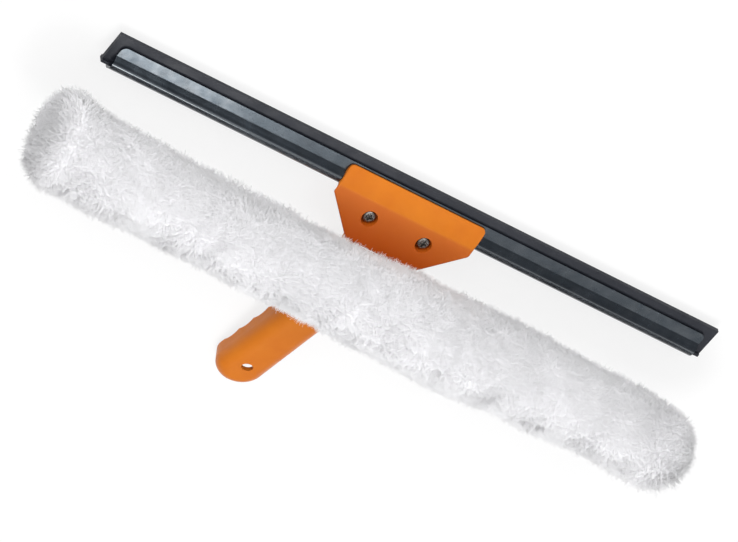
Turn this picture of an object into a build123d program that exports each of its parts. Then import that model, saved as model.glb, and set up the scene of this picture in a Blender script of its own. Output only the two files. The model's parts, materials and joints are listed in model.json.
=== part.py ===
from build123d import *
import os
from math import cos, hypot, radians, sin, tan

# Hand window washer with a squeegee blade: handle, clamp, blade, washer bar and plush sleeve.
# The tool lies on its back as it would on a table. X runs along the blade, Y from the grip to the
# blade's tip, Z up. The origin is on the table, under the middle of the tool.

# Overall
TOOL_LENGTH = 169.4  # grip end to blade tip, along Y
SLIDE_CLEARANCE = 0.1  # channel in its jaws, each side
SCREW_CLEARANCE = 0.1  # screw shank in its holes, radial
SOFT_CLEARANCE = 0.4  # plush to its neighbours
OVERRUN = 5.0  # how far a cutter runs past what it cuts

# Rubber blade
BLADE_LENGTH = 355.0
BLADE_THICKNESS = 2.4
BLADE_TIP = 15.2  # wiping edge, above the middle of the channel's bulb
BLADE_FOOT_WIDTH = 4.4  # ridge along the root that keeps the rubber in its channel
BLADE_FOOT_HEIGHT = 1.6
BLADE_FOOT_DROP = 2.6  # root below the middle of the channel's bulb
RUBBER_CLEARANCE = 0.08
BLADE_DIP = 10.7  # the blade points down to the table by this angle

# Channel
CHANNEL_LENGTH = 346.0
CHANNEL_WALL = 1.2
CHANNEL_MOUTH = 10.6  # top of the lips, from the middle of the bulb
CHANNEL_CORNER = 3.0  # rounding of the lips at both ends
CHANNEL_BLEND = 1.6  # hollow where the lips meet the bulb

# Clamp plate and rear jaw
HEAD_WIDTH = 80.0
PLATE_FOOT_WIDTH = 40.0
PLATE_DRAFT = 4.5  # the plate's back is narrower than its face by this much each side
JAW_INSET = 8.0  # the rear jaw is narrower than the plate by this much each side
HEAD_CORNER = 2.5
LIP_TOP = 9.4  # top of the plate, from the middle of the bulb
LIP_EDGE = 0.7  # plate thickness at its top
CREASE_DROP = 1.9  # crease across the plate, below the middle of the bulb
CREASE_WALL = 1.7  # plate thickness in front of the bulb
SHOULDER_DROP = 6.8  # where the head starts to narrow
PLATE_DROP = 26.2  # foot of the plate
PLATE_SLOPE = 9.1  # the plate thickens towards its foot by this angle
PLATE_EDGE = 0.9  # rounding of the plate's front edges
PARTING_GAP = 0.3  # left between the plate and the rear jaw for the screws to draw up
JAW_WALL = 2.2  # rear jaw behind the bulb
CLAMP_TRAVEL = 2.6  # how far the plate lifts when its screws are slackened

# Screws
SCREW_DIAMETER = 3.5
SCREW_HEAD_DIAMETER = 6.8
SCREW_HEAD_HEIGHT = 2.4
SCREW_HEAD_EDGE = 1.2
SCREW_POINT = 1.0
CROSS_WIDTH = 1.1
CROSS_LENGTH = 3.8
CROSS_DEPTH = 1.3
CLAMP_SCREW_LENGTH = 10.5
CLAMP_SCREW_SPACING = 32.0
CLAMP_SCREW_DROP = 11.3  # below the middle of the bulb
RECESS_DIAMETER = 8.4
RECESS_MARGIN = 1.0  # head below the plate's face
BOSS_DIAMETER = 8.5
BAR_SCREW_LENGTH = 9.0
BAR_SCREW_SPACING = 11.0

# Handle
GRIP_LENGTH = 94.0
GRIP_END_WIDTH = 25.4
GRIP_NECK_WIDTH = 23.6
GRIP_DEPTH = 13.0
GRIP_ROUND = 7.0
GRIP_RISE = 7.8  # the grip climbs from the table to the neck by this angle
HANDLE_WALL = 2.2
NECK_ROUND = 3.0
ARCH_SLOPE = 20.0  # back of the neck, down to the head's flat back
FINGER_COUNT = 5
FINGER_PITCH = 12.5
FINGER_RADIUS = 19.0
FINGER_DEPTH = 1.0
FIRST_FINGER = 22.0  # from the grip's end
RIB_COUNT = 3
RIB_THICKNESS = 1.6
RIB_INSET = 4.0  # ribs stop short of the open back
HANG_HOLE_DIAMETER = 6.0
HANG_HOLE_INSET = 19.5
DRAIN_GAP_LENGTH = 11.5  # along the grip's wall from its end, on the right
DRAIN_GAP_WIDTH = 8.5
DRAIN_GAP_HEIGHT = 4.4

# Washer bar and sleeve
BAR_LENGTH = 350.0
BAR_DIAMETER = 25.0
BAR_WALL = 2.0
BAR_HEIGHT = 43.0  # axis above the table
BAR_SETBACK = 35.0  # axis behind the middle of the bulb
FOOT_LENGTH = 17.6
FOOT_WIDTH = 16.0
FOOT_CORNER = 3.0
CAP_DOME = 4.0
CAP_ROUND = 3.0
CAP_PLUG = 9.0
CAP_CLEARANCE = 0.05
SLEEVE_LENGTH = 377.0
SLEEVE_DIAMETER = 46.0
SLEEVE_SWELL = 1.2  # fuller at its left end and beside the grip, thinner between and at its right end
SLEEVE_WAIST_X = -85.0
SLEEVE_FULL_X = 42.0
SLEEVE_ROUND = 10.0
STRIP_WIDTH = 16.0
STRIP_LENGTH = 140.0
STRIP_THICKNESS = 1.2
STRIP_CORNER = 3.0

# Places that follow from the sizes
half_blade = BLADE_THICKNESS / 2
half_slot = half_blade + RUBBER_CLEARANCE
neck_half_width = PLATE_FOOT_WIDTH / 2 - JAW_INSET
half_lips = half_slot + CHANNEL_WALL
bulb_bore = hypot(BLADE_FOOT_WIDTH / 2, BLADE_FOOT_DROP) + RUBBER_CLEARANCE
bulb_radius = bulb_bore + CHANNEL_WALL
pocket_radius = bulb_radius + SLIDE_CLEARANCE
dip_sin = sin(radians(BLADE_DIP))
dip_cos = cos(radians(BLADE_DIP))
rise_sin = sin(radians(GRIP_RISE))
rise_cos = cos(radians(GRIP_RISE))

heel_y = -TOOL_LENGTH / 2 + (GRIP_DEPTH - GRIP_ROUND) * rise_sin + GRIP_ROUND * (1 - rise_cos)
bulb_y = TOOL_LENGTH / 2 - BLADE_TIP * dip_cos - half_blade * dip_sin
bulb_z = JAW_WALL + pocket_radius
bar_y = bulb_y - BAR_SETBACK
bar_radius = BAR_DIAMETER / 2
bar_bore = bar_radius - BAR_WALL
half_bar = BAR_LENGTH / 2 + CAP_DOME
half_sleeve = SLEEVE_LENGTH / 2
sleeve_radius = SLEEVE_DIAMETER / 2
strip_bed = BAR_HEIGHT - sleeve_radius + 2 * STRIP_THICKNESS
strip_x = -neck_half_width - STRIP_CORNER - STRIP_LENGTH / 2

lip_front = half_lips + SLIDE_CLEARANCE + LIP_EDGE
crease_front = pocket_radius + CREASE_WALL
plate_slope = tan(radians(PLATE_SLOPE))
foot_front = crease_front + (PLATE_DROP - CREASE_DROP) * plate_slope
screw_front = crease_front + (CLAMP_SCREW_DROP - CREASE_DROP) * plate_slope
screw_seat = screw_front - RECESS_MARGIN - SCREW_HEAD_HEIGHT
half_gap = PARTING_GAP / 2
neck_top = bulb_z + PLATE_DROP * dip_sin + foot_front * dip_cos
neck_front_y = bulb_y - PLATE_DROP * dip_cos
grip_inner_y = heel_y + GRIP_LENGTH * rise_cos
neck_back_y = grip_inner_y - GRIP_NECK_WIDTH / 2
arch_foot_y = neck_front_y
arch_slope = tan(radians(ARCH_SLOPE))
rise_slope = rise_sin / rise_cos
arch_top_y = (arch_foot_y * arch_slope + heel_y * rise_slope) / (arch_slope + rise_slope)
arch_top_z = (arch_top_y - heel_y) * rise_slope
rib_start = HANG_HOLE_INSET + HANG_HOLE_DIAMETER + HANDLE_WALL
rib_pitch = (GRIP_LENGTH - HANDLE_WALL - rib_start) / RIB_COUNT

# Planes: across the blade, facing the head, across and along the grip, across the bar
bulb_middle = (0, bulb_y, bulb_z)
blade_section = Plane(bulb_middle, x_dir=(0, dip_cos, -dip_sin), z_dir=(1, 0, 0))
head_face = Plane(bulb_middle, x_dir=(1, 0, 0), z_dir=(0, dip_sin, dip_cos))
grip_back = Plane((0, heel_y, 0), x_dir=(1, 0, 0), z_dir=(0, -rise_sin, rise_cos))
grip_side = Plane((0, heel_y, 0), x_dir=(0, rise_cos, rise_sin), z_dir=(1, 0, 0))
grip_across = Plane((0, heel_y, 0), x_dir=(1, 0, 0), z_dir=(0, -rise_cos, -rise_sin))
bar_section = Plane((0, bar_y, BAR_HEIGHT), x_dir=(0, 1, 0), z_dir=(1, 0, 0))
bar_profile = Plane((0, bar_y, BAR_HEIGHT), x_dir=(1, 0, 0), z_dir=(0, -1, 0))
bar_axis = Axis((0, bar_y, BAR_HEIGHT), (1, 0, 0))
left_screw_seat = Plane(head_face.location * Pos(-CLAMP_SCREW_SPACING / 2, -CLAMP_SCREW_DROP, screw_seat))
right_screw_seat = Plane(head_face.location * Pos(CLAMP_SCREW_SPACING / 2, -CLAMP_SCREW_DROP, screw_seat))
bar_screw_seat = Plane((0, bar_y, neck_top - HANDLE_WALL), x_dir=(1, 0, 0), z_dir=(0, 0, -1))
blade_up = Axis(bulb_middle, head_face.y_dir)
blade_front = Axis(bulb_middle, head_face.z_dir)
grip_up = Axis(grip_back.origin, grip_back.z_dir)


def channel_outline(clearance):
    """Outer shape of the channel's section, grown by a clearance, in the current sketch."""
    length = CHANNEL_MOUTH + clearance
    with Locations((length / 2, 0)):
        Rectangle(length, 2 * (half_lips + clearance))
    Circle(bulb_radius + clearance)
    fillet(vertices().group_by(Axis.X)[0], CHANNEL_BLEND - clearance)


def head_outline(inset=0.0):
    """Front view of the head, from its lip to the foot of the plate, in the current sketch."""
    half = HEAD_WIDTH / 2 - inset
    foot = PLATE_FOOT_WIDTH / 2 - inset
    Polygon(
        (-half, LIP_TOP),
        (half, LIP_TOP),
        (half, -SHOULDER_DROP),
        (foot, -PLATE_DROP),
        (-foot, -PLATE_DROP),
        (-half, -SHOULDER_DROP),
        align=None,
    )


def plate_flank(inset):
    """What lies left of the plate's flank, below the crease, in the current sketch."""
    half = HEAD_WIDTH / 2
    foot = PLATE_FOOT_WIDTH / 2
    Polygon(
        (-HEAD_WIDTH, -CREASE_DROP),
        (-half, -CREASE_DROP),
        (-half + inset, -SHOULDER_DROP),
        (-foot + inset, -PLATE_DROP - OVERRUN),
        (-HEAD_WIDTH, -PLATE_DROP - OVERRUN),
        align=None,
    )


def neck_outline(inset=0.0):
    """Plan of the neck, widening from the grip to the foot of the plate, in the current sketch."""
    back = GRIP_NECK_WIDTH / 2 - inset
    front = neck_half_width - inset
    Polygon(
        (-back, neck_back_y + inset),
        (back, neck_back_y + inset),
        (front, neck_front_y),
        (-front, neck_front_y),
        align=None,
    )


def grip_outline(inset=0.0):
    """Plan of the grip, a tapering tongue with round ends, in the current sketch."""
    end = GRIP_END_WIDTH / 2
    neck = GRIP_NECK_WIDTH / 2
    with Locations((0, end)):
        Circle(end - inset)
    with Locations((0, GRIP_LENGTH - neck)):
        Circle(neck - inset)
    make_hull()


def grip_half_width(along):
    """Half the grip's width at a distance from its end."""
    return (GRIP_END_WIDTH + (GRIP_NECK_WIDTH - GRIP_END_WIDTH) * along / GRIP_LENGTH) / 2


def pan_screw(plane, length):
    """Pan-head cross-recess screws, their seats on a plane, pointing down it, in the current part."""
    up = Axis(plane.origin, plane.z_dir)
    Cylinder(SCREW_HEAD_DIAMETER / 2, SCREW_HEAD_HEIGHT, align=(Align.CENTER, Align.CENTER, Align.MIN))
    fillet(faces().group_by(up)[-1].edges(), SCREW_HEAD_EDGE)
    Cylinder(SCREW_DIAMETER / 2, length, align=(Align.CENTER, Align.CENTER, Align.MAX))
    chamfer(faces().group_by(up)[0].edges(), SCREW_POINT)
    with Locations((0, 0, SCREW_HEAD_HEIGHT)):
        Box(CROSS_LENGTH, CROSS_WIDTH, 2 * CROSS_DEPTH, mode=Mode.SUBTRACT)
        Box(CROSS_WIDTH, CROSS_LENGTH, 2 * CROSS_DEPTH, mode=Mode.SUBTRACT)


# Rubber blade: a flat strip with a ridged root
with BuildPart() as rubber_blade:
    with BuildSketch(blade_section):
        with Locations((-BLADE_FOOT_DROP, 0)):
            Rectangle(BLADE_TIP + BLADE_FOOT_DROP, BLADE_THICKNESS, align=(Align.MIN, Align.CENTER))
            Rectangle(BLADE_FOOT_HEIGHT, BLADE_FOOT_WIDTH, align=(Align.MIN, Align.CENTER))
    extrude(amount=BLADE_LENGTH / 2, both=True)

# Channel: two flat lips on a round bulb, slotted for the rubber, lips rounded at their ends
with BuildPart() as blade_channel:
    with BuildSketch(blade_section):
        channel_outline(0)
        with Locations((CHANNEL_MOUTH / 2, 0)):
            Rectangle(CHANNEL_MOUTH, 2 * half_slot, mode=Mode.SUBTRACT)
        Circle(bulb_bore, mode=Mode.SUBTRACT)
    extrude(amount=CHANNEL_LENGTH / 2, both=True)
    mouth = faces().filter_by(blade_up).sort_by(blade_up)[-2:]
    fillet(mouth.edges().filter_by(blade_front), CHANNEL_CORNER)

# What the draft takes off the plate's flanks
with BuildPart() as flank_draft:
    with BuildSketch(head_face):
        plate_flank(PLATE_DRAFT)
    with BuildSketch(head_face.offset(crease_front)):
        plate_flank(0)
    loft(ruled=True)
    mirror(about=Plane.YZ)

# Clamp plate: a lip over the channel, a crease, and a plate that thickens towards its foot
with BuildPart() as clamp_plate:
    with BuildSketch(blade_section):
        Polygon(
            (LIP_TOP, half_gap),
            (LIP_TOP, lip_front),
            (-CREASE_DROP, crease_front),
            (-PLATE_DROP, foot_front),
            (-PLATE_DROP, half_gap),
            align=None,
        )
    extrude(amount=HEAD_WIDTH / 2, both=True)
    with BuildSketch(head_face):
        head_outline()
        fillet(vertices().group_by(Axis.Y)[1:], HEAD_CORNER)
    extrude(amount=foot_front + OVERRUN, mode=Mode.INTERSECT)
    lip_and_plate = faces().filter_by(Axis.X, reverse=True).sort_by(blade_front)[-2:]
    fillet(lip_and_plate.edges(), PLATE_EDGE)
    add(flank_draft.part, mode=Mode.SUBTRACT)
    with BuildSketch(blade_section):
        channel_outline(SLIDE_CLEARANCE)
    extrude(amount=HEAD_WIDTH, both=True, mode=Mode.SUBTRACT)
    with BuildSketch(head_face):
        with Locations((0, -CLAMP_SCREW_DROP)):
            with GridLocations(CLAMP_SCREW_SPACING, 1, 2, 1):
                Circle(SCREW_DIAMETER / 2 + SCREW_CLEARANCE)
    extrude(amount=foot_front, mode=Mode.SUBTRACT)
    with BuildSketch(head_face.offset(screw_seat)):
        with Locations((0, -CLAMP_SCREW_DROP)):
            with GridLocations(CLAMP_SCREW_SPACING, 1, 2, 1):
                Circle(RECESS_DIAMETER / 2)
    extrude(amount=foot_front, mode=Mode.SUBTRACT)

# Hollow of the grip, open at its back
with BuildPart() as grip_hollow:
    with BuildSketch(grip_back.offset(-OVERRUN)):
        grip_outline(HANDLE_WALL)
    extrude(amount=GRIP_DEPTH - HANDLE_WALL + OVERRUN)
    fillet(faces().sort_by(grip_up)[-1].edges(), GRIP_ROUND - HANDLE_WALL)

# Neck, rounded along its top edges
with BuildPart() as neck:
    with BuildSketch(Plane.XY):
        neck_outline()
    extrude(amount=neck_top)
    fillet(faces().sort_by(Axis.Z)[-1].edges().group_by(Axis.X)[0], NECK_ROUND)
    fillet(faces().sort_by(Axis.Z)[-1].edges().group_by(Axis.X)[-1], NECK_ROUND)

# Hollow of the neck, open at the back
with BuildPart() as neck_hollow:
    with BuildSketch(Plane.XY.offset(-OVERRUN)):
        neck_outline(HANDLE_WALL)
    extrude(amount=neck_top - HANDLE_WALL + OVERRUN)

# Hollow of the head below the channel, open at the back
with BuildPart() as head_hollow:
    with BuildSketch(head_face.offset(-half_gap - HANDLE_WALL)):
        head_outline(JAW_INSET + HANDLE_WALL)
        with Locations((0, LIP_TOP)):
            Rectangle(
                HEAD_WIDTH,
                LIP_TOP + pocket_radius + HANDLE_WALL,
                align=(Align.CENTER, Align.MAX),
                mode=Mode.SUBTRACT,
            )
    extrude(amount=-neck_top)

# Handle: grip, neck and rear jaw in one moulding, hollow and ribbed behind
with BuildPart() as handle:
    with BuildSketch(grip_back):
        grip_outline()
    extrude(amount=GRIP_DEPTH)
    fillet(faces().sort_by(grip_up)[-1].edges(), GRIP_ROUND)
    add(neck.part)
    with BuildSketch(head_face.offset(-half_gap)):
        head_outline(JAW_INSET)
        fillet(vertices().group_by(Axis.Y)[1:], HEAD_CORNER)
    extrude(amount=-neck_top)
    # room for the channel
    with BuildSketch(blade_section):
        channel_outline(SLIDE_CLEARANCE)
    extrude(amount=HEAD_WIDTH, both=True, mode=Mode.SUBTRACT)
    # room for the clamp plate
    with BuildSketch(blade_section):
        Polygon(
            (-PLATE_DROP - half_gap, -half_gap),
            (-PLATE_DROP - half_gap, neck_top),
            (LIP_TOP, neck_top),
            (LIP_TOP, -half_gap),
            align=None,
        )
    extrude(amount=HEAD_WIDTH, both=True, mode=Mode.SUBTRACT)
    # the back of the neck arches over the table
    with BuildSketch(Plane.YZ):
        Polygon(
            (heel_y, 0),
            (arch_top_y, arch_top_z),
            (arch_foot_y, 0),
            align=None,
        )
    extrude(amount=HEAD_WIDTH, both=True, mode=Mode.SUBTRACT)
    add(grip_hollow.part, mode=Mode.SUBTRACT)
    add(neck_hollow.part, mode=Mode.SUBTRACT)
    add(head_hollow.part, mode=Mode.SUBTRACT)
    # ribs across the grip
    for rib in range(RIB_COUNT):
        along = rib_start + rib * rib_pitch
        half = grip_half_width(along) - HANDLE_WALL / 2
        top = GRIP_DEPTH - HANDLE_WALL / 2
        with BuildSketch(grip_across.offset(-along)):
            with Locations((0, RIB_INSET)):
                Rectangle(2 * half, top - RIB_INSET, align=(Align.CENTER, Align.MIN))
            fillet(vertices().group_by(Axis.Y)[-1], GRIP_ROUND - HANDLE_WALL / 2)
        extrude(amount=RIB_THICKNESS / 2, both=True)
    # bosses for the clamp screws
    with BuildSketch(head_face.offset(-half_gap)):
        with Locations((0, -CLAMP_SCREW_DROP)):
            with GridLocations(CLAMP_SCREW_SPACING, 1, 2, 1):
                Circle(BOSS_DIAMETER / 2)
    extrude(amount=-neck_top)
    split(bisect_by=Plane.XY, keep=Keep.TOP)
    with BuildSketch(head_face.offset(-half_gap)):
        with Locations((0, -CLAMP_SCREW_DROP)):
            with GridLocations(CLAMP_SCREW_SPACING, 1, 2, 1):
                Circle(SCREW_DIAMETER / 2 + SCREW_CLEARANCE)
    extrude(amount=-(CLAMP_SCREW_LENGTH - screw_seat), mode=Mode.SUBTRACT)
    # holes for the bar screws
    with BuildSketch(Plane.XY.offset(neck_top)):
        with Locations((0, bar_y)):
            with GridLocations(BAR_SCREW_SPACING, 1, 2, 1):
                Circle(SCREW_DIAMETER / 2 + SCREW_CLEARANCE)
    extrude(amount=-2 * HANDLE_WALL, mode=Mode.SUBTRACT)
    # finger scallops along the back edges
    with BuildSketch(grip_side):
        for finger in range(FINGER_COUNT):
            with Locations((FIRST_FINGER + finger * FINGER_PITCH, FINGER_DEPTH - FINGER_RADIUS)):
                Circle(FINGER_RADIUS)
    extrude(amount=GRIP_END_WIDTH, both=True, mode=Mode.SUBTRACT)
    # hang hole
    with BuildSketch(grip_back.offset(GRIP_DEPTH)):
        with Locations((0, HANG_HOLE_INSET)):
            Circle(HANG_HOLE_DIAMETER / 2)
    extrude(amount=-2 * HANDLE_WALL, mode=Mode.SUBTRACT)
    # drain gap under the wall beside the hang hole
    with BuildSketch(grip_across):
        with Locations((GRIP_END_WIDTH / 2, 0)):
            Rectangle(DRAIN_GAP_WIDTH, DRAIN_GAP_HEIGHT, align=(Align.MAX, Align.MIN))
    extrude(amount=-DRAIN_GAP_LENGTH, mode=Mode.SUBTRACT)

# Clamp screws, one each side of the plate
with BuildPart(left_screw_seat) as clamp_screw_left:
    pan_screw(left_screw_seat, CLAMP_SCREW_LENGTH)

with BuildPart(right_screw_seat) as clamp_screw_right:
    pan_screw(right_screw_seat, CLAMP_SCREW_LENGTH)

# Washer bar: a tube on a foot that stands on the neck
with BuildPart() as washer_bar:
    with BuildSketch(bar_section):
        Circle(bar_radius)
    extrude(amount=BAR_LENGTH / 2, both=True)
    with BuildSketch(Plane.XY.offset(neck_top)):
        with Locations((0, bar_y)):
            RectangleRounded(FOOT_LENGTH, FOOT_WIDTH, FOOT_CORNER)
    extrude(amount=BAR_HEIGHT - neck_top)
    with BuildSketch(bar_section):
        Circle(bar_bore)
    extrude(amount=BAR_LENGTH / 2, both=True, mode=Mode.SUBTRACT)
    with BuildSketch(Plane.XY.offset(neck_top)):
        with Locations((0, bar_y)):
            with GridLocations(BAR_SCREW_SPACING, 1, 2, 1):
                Circle(SCREW_DIAMETER / 2 + SCREW_CLEARANCE)
    extrude(amount=BAR_SCREW_LENGTH - HANDLE_WALL + SCREW_POINT, mode=Mode.SUBTRACT)

# Caps pressed into both ends of the tube
with BuildPart() as bar_end_caps:
    with BuildSketch(bar_section.offset(BAR_LENGTH / 2)):
        Circle(bar_radius)
    extrude(amount=CAP_DOME)
    fillet(faces().sort_by(Axis.X)[-1].edges(), CAP_ROUND)
    with BuildSketch(bar_section.offset(BAR_LENGTH / 2)):
        Circle(bar_bore - CAP_CLEARANCE)
    extrude(amount=-CAP_PLUG)
    mirror(about=Plane.YZ)

# Screws from inside the neck up into the bar's foot
with BuildPart(bar_screw_seat) as bar_screws:
    with GridLocations(BAR_SCREW_SPACING, 1, 2, 1):
        pan_screw(bar_screw_seat, BAR_SCREW_LENGTH)

# Plush sleeve: full at its left end and beside the grip, open behind round the neck and the bar's foot
with BuildPart() as washer_sleeve:
    with BuildSketch(bar_profile):
        with BuildLine():
            outer = Spline(
                (-half_sleeve, sleeve_radius + SLEEVE_SWELL),
                (SLEEVE_WAIST_X, sleeve_radius - SLEEVE_SWELL),
                (SLEEVE_FULL_X, sleeve_radius + SLEEVE_SWELL),
                (half_sleeve, sleeve_radius - SLEEVE_SWELL),
                tangents=((1, 0), (1, 0)),
            )
            Polyline(outer @ 1, (half_sleeve, 0), (-half_sleeve, 0), outer @ 0)
        make_face()
        fillet(vertices().group_by(Axis.Y)[1:], SLEEVE_ROUND)
    revolve(axis=bar_axis)
    with BuildSketch(bar_section):
        Circle(bar_radius + SOFT_CLEARANCE)
    extrude(amount=half_bar + SOFT_CLEARANCE, both=True, mode=Mode.SUBTRACT)
    # room for the neck
    with BuildSketch(Plane.XY.offset(neck_top + SOFT_CLEARANCE)):
        with Locations((0, bar_y)):
            Rectangle(2 * (neck_half_width + SOFT_CLEARANCE), SLEEVE_DIAMETER + 2 * OVERRUN)
    extrude(amount=-neck_top, mode=Mode.SUBTRACT)
    # slit for the bar's foot
    with BuildSketch(Plane.XY.offset(neck_top)):
        with Locations((0, bar_y)):
            Rectangle(FOOT_LENGTH + 2 * SOFT_CLEARANCE, FOOT_WIDTH + 2 * SOFT_CLEARANCE)
    extrude(amount=BAR_HEIGHT - neck_top, mode=Mode.SUBTRACT)
    # dent that lets the clamp plate lift
    with BuildSketch(head_face):
        head_outline(-SOFT_CLEARANCE)
    extrude(amount=foot_front + CLAMP_TRAVEL + SOFT_CLEARANCE, mode=Mode.SUBTRACT)
    # flat bed for the closing tape
    with BuildSketch(Plane.XY.offset(strip_bed)):
        with Locations((strip_x, bar_y)):
            Rectangle(STRIP_LENGTH + 2 * SOFT_CLEARANCE, SLEEVE_DIAMETER)
    extrude(amount=-strip_bed, mode=Mode.SUBTRACT)

# Touch tape that closes the slit: loop side on the plush, hook side over it
with BuildPart() as loop_strip:
    with BuildSketch(Plane.XY.offset(strip_bed)):
        with Locations((strip_x, bar_y)):
            RectangleRounded(STRIP_LENGTH, STRIP_WIDTH, STRIP_CORNER)
    extrude(amount=-STRIP_THICKNESS)

with BuildPart() as hook_strip:
    with BuildSketch(Plane.XY.offset(strip_bed - STRIP_THICKNESS)):
        with Locations((strip_x, bar_y)):
            RectangleRounded(STRIP_LENGTH, STRIP_WIDTH, STRIP_CORNER)
    extrude(amount=-STRIP_THICKNESS)

pieces = {
    "handle": handle,
    "clamp_plate": clamp_plate,
    "clamp_screw_left": clamp_screw_left,
    "clamp_screw_right": clamp_screw_right,
    "blade_channel": blade_channel,
    "rubber_blade": rubber_blade,
    "washer_bar": washer_bar,
    "bar_end_caps": bar_end_caps,
    "bar_screws": bar_screws,
    "washer_sleeve": washer_sleeve,
    "loop_strip": loop_strip,
    "hook_strip": hook_strip,
}
os.makedirs("parts", exist_ok=True)
for name, piece in pieces.items():
    piece.part.label = name
    export_step(piece.part, f"parts/{name}.step")
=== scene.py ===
"""Looks of a hand window washer: moulded orange plastic, a black channel with its rubber
blade, small zinc screws and a plush sleeve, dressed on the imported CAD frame."""

import json
import math

import bmesh
import bpy
import numpy as np
from mathutils import Matrix, Vector, noise


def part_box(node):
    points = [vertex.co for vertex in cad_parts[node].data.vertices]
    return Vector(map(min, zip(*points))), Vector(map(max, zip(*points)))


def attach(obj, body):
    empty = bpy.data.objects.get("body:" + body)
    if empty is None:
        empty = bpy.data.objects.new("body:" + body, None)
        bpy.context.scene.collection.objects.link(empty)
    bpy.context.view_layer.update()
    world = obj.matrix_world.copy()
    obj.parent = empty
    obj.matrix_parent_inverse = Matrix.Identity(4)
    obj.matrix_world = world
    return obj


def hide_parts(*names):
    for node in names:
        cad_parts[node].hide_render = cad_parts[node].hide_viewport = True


bl_info = {
    "name": "Window Washer Looks",
    "version": (1, 0, 0),
    "blender": (4, 5, 0),
    "location": "View3D > Sidebar > Washer",
    "description": "Gives a packed window washer its finishes, plush sleeve and studio stage",
    "category": "Object",
}

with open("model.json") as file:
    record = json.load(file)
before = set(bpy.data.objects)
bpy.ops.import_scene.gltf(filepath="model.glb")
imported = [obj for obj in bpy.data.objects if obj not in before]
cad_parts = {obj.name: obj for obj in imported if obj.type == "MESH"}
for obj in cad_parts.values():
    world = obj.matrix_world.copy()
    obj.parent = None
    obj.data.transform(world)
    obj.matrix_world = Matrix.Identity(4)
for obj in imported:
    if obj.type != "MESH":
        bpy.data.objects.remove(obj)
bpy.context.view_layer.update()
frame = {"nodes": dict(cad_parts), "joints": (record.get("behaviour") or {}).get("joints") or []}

MM = 0.001
TINY = 1e-6
WHITE = (1.0, 1.0, 1.0, 1.0)

# Sizes of the hard pieces that no box of the frame gives: half the handle's neck, the clamp
# plate's lip down to its crease, and the channel's lips down to the crest of its bulb
NECK_HALF_WIDTH = 12 * MM
CREASE_DROP = 11.3 * MM
LIP_WIDTH = 9.4 * MM

# Places read from the frame, in metres
bar_low, bar_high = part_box("washer_bar")
sleeve_low, sleeve_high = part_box("washer_sleeve")
plate_low, plate_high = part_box("clamp_plate")
loop_low, loop_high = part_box("loop_strip")
hook_low, hook_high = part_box("hook_strip")
bar_radius = (bar_high.y - bar_low.y) / 2
bar_y = (bar_low.y + bar_high.y) / 2
bar_z = bar_high.z - bar_radius
neck_top = bar_low.z
clamp_joint = next(joint for joint in frame["joints"] if joint["name"] == "clamp_release")
clamp_axis = np.array(clamp_joint["axis"])
clamp_travel = clamp_joint["range_m"][1]
blade_way = np.array((0.0, clamp_axis[2], -clamp_axis[1]))


def levels(node, way):
    """Lowest and highest level of a CAD node's points along a way."""
    points = np.array([vertex.co for vertex in frame["nodes"][node].data.vertices])
    along = points @ way
    return float(along.min()), float(along.max())


plate_top = levels("clamp_plate", clamp_axis)[1]
foot_level, lip_level = levels("clamp_plate", blade_way)
crease_level = lip_level - CREASE_DROP
bulb_level = levels("blade_channel", blade_way)[1] - LIP_WIDTH

# Where the noise of clouds and of drawn lines mostly lies, and its stretch along a drawn line
CLOUD_RANGE = (0.32, 0.68)
LINE_RANGE = (0.3, 0.7)
LINE_STRETCH = 0.012

# Marks across the head: their soft edge, the width of the plate's crease, the share of painted
# shade at the crease and what is added down to the plate's foot, and the polish of the bulb
MARK_EDGE = 0.4 * MM
CREASE_SPREAD = 1.4 * MM
CREASE_SHARE = 0.5
FOOT_SHARE = 0.6
BULB_POLISH = 0.5

# Fullness of the sleeve along the bar: places from its middle and radii over the pile
SLEEVE_FULLNESS = (
    (sleeve_low.x, 23.6 * MM),
    (-85.0 * MM, 20.9 * MM),
    (42.0 * MM, 23.6 * MM),
    (sleeve_high.x, 21.5 * MM),
)

# Mesh of the sleeve's backing: sides, and rings on each flat end, round edge and the body
SLEEVE_SIDES = 108
DISC_RINGS = 5
EDGE_RINGS = 9
BODY_RINGS = 115

# Rounding of the sleeve's ends, and how far they puff out
LEFT_ROUND = 9.0 * MM
LEFT_PUFF = 0.8 * MM
RIGHT_ROUND = 18.0 * MM
RIGHT_PUFF = 7.0 * MM

# Droop of the soft sleeve off the bar's axis: towards the blade at its left end, and the
# other way at its right
DROOP_WAY = np.array((0.0, 0.735, -0.678))
LEFT_DROOP = 5.5 * MM
LEFT_DROOP_START = -40.0 * MM
LEFT_DROOP_RUN = 150.0 * MM
LEFT_DROOP_POWER = 2.2
RIGHT_LIFT = 1.6 * MM
RIGHT_LIFT_START = 140.0 * MM
RIGHT_LIFT_RUN = 45.0 * MM

# Lumps of the sleeve: their swell, their number along a metre, a shift that sets the small ones
# apart from the broad ones, and the middle of each end, where they fade out
BROAD_SWELL = 1.4 * MM
BROAD_LUMPS = 42.0
SMALL_SWELL = 0.8 * MM
SMALL_LUMPS = 130.0
SMALL_SHIFT = Vector((9.0, 0.0, 0.0))
LUMP_FADE = 12.0 * MM

# Ruffled crown on one side of the left end: its swell, its turn and spread round the bar, where
# it starts along the bar, and the share by which its pile is longer
CROWN_SWELL = 1.6 * MM
CROWN_TURN = math.radians(-55.0)
CROWN_SPREAD = 0.75
CROWN_START = -166.0 * MM
CROWN_RUN = 12.0 * MM
CROWN_GROWTH = 0.2

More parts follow.
